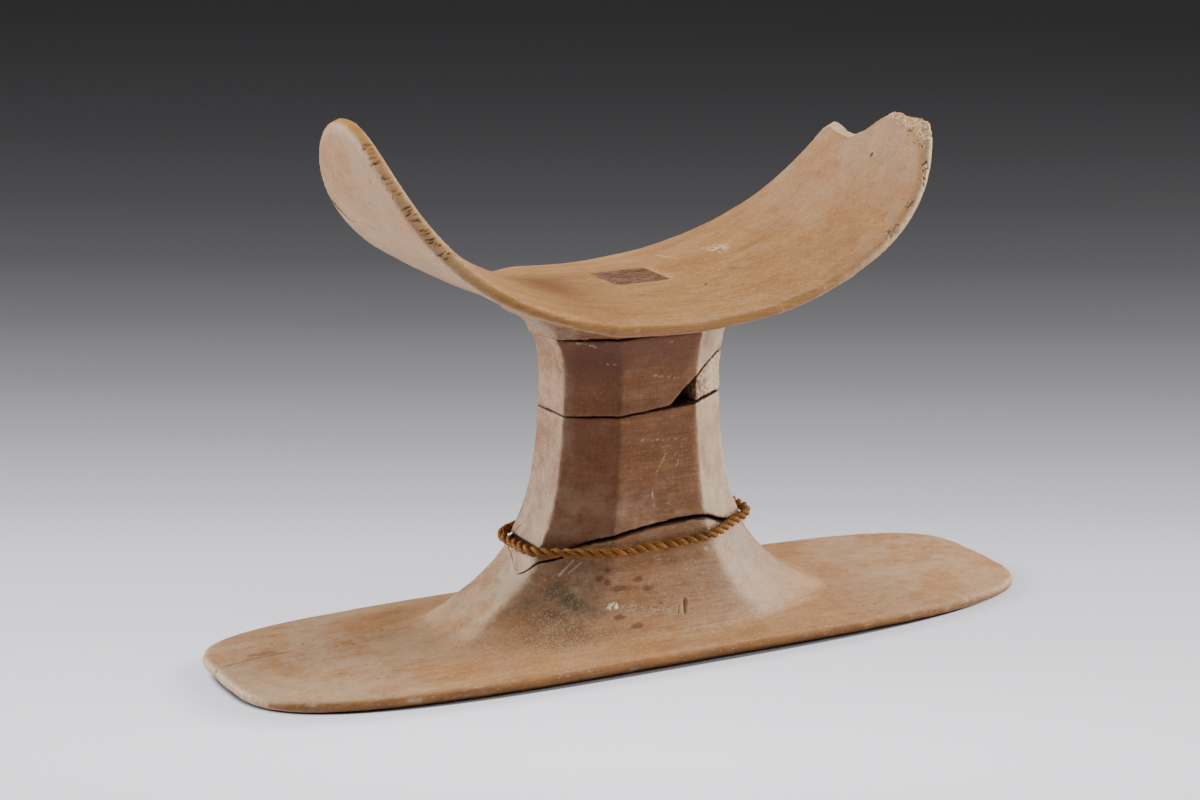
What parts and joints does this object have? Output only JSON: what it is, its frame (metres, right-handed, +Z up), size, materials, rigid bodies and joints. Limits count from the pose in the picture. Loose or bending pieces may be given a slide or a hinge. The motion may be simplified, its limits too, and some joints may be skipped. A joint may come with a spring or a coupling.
{
  "type": "carved wooden neck rest",
  "caption": "Carved wooden neck rest with a curved pillow, a split, faceted pillar held by a peg and a bound cord, and a long flared foot.",
  "frame": {"origin": "middle of the flat underside of the base, on the surface it stands on", "axes": "+Z up; +X along the base and the wings, to the viewer's right when the front is seen; +Y towards the back, so the front looks along -Y"},
  "size_m": [0.28, 0.0892, 0.1733],
  "materials": {
    "wood_pale": "old pale wood, dry and worn smooth",
    "wood_heart": "old red-brown wood, dry, with fine tool marks",
    "wood_peg": "dark end grain, matt",
    "cord_fibre": "twisted plant fibre, dry and frayed"
  },
  "bodies": {
    "root": {"base": "wood_pale", "pillar_lower_block": "wood_heart", "pillar_upper_block": "wood_heart", "pillar_splinter": "wood_heart", "pillow": "wood_pale", "repair_peg": "wood_peg", "binding_cord": "cord_fibre", "cord_knot": "cord_fibre"}
  },
  "joints": []
}
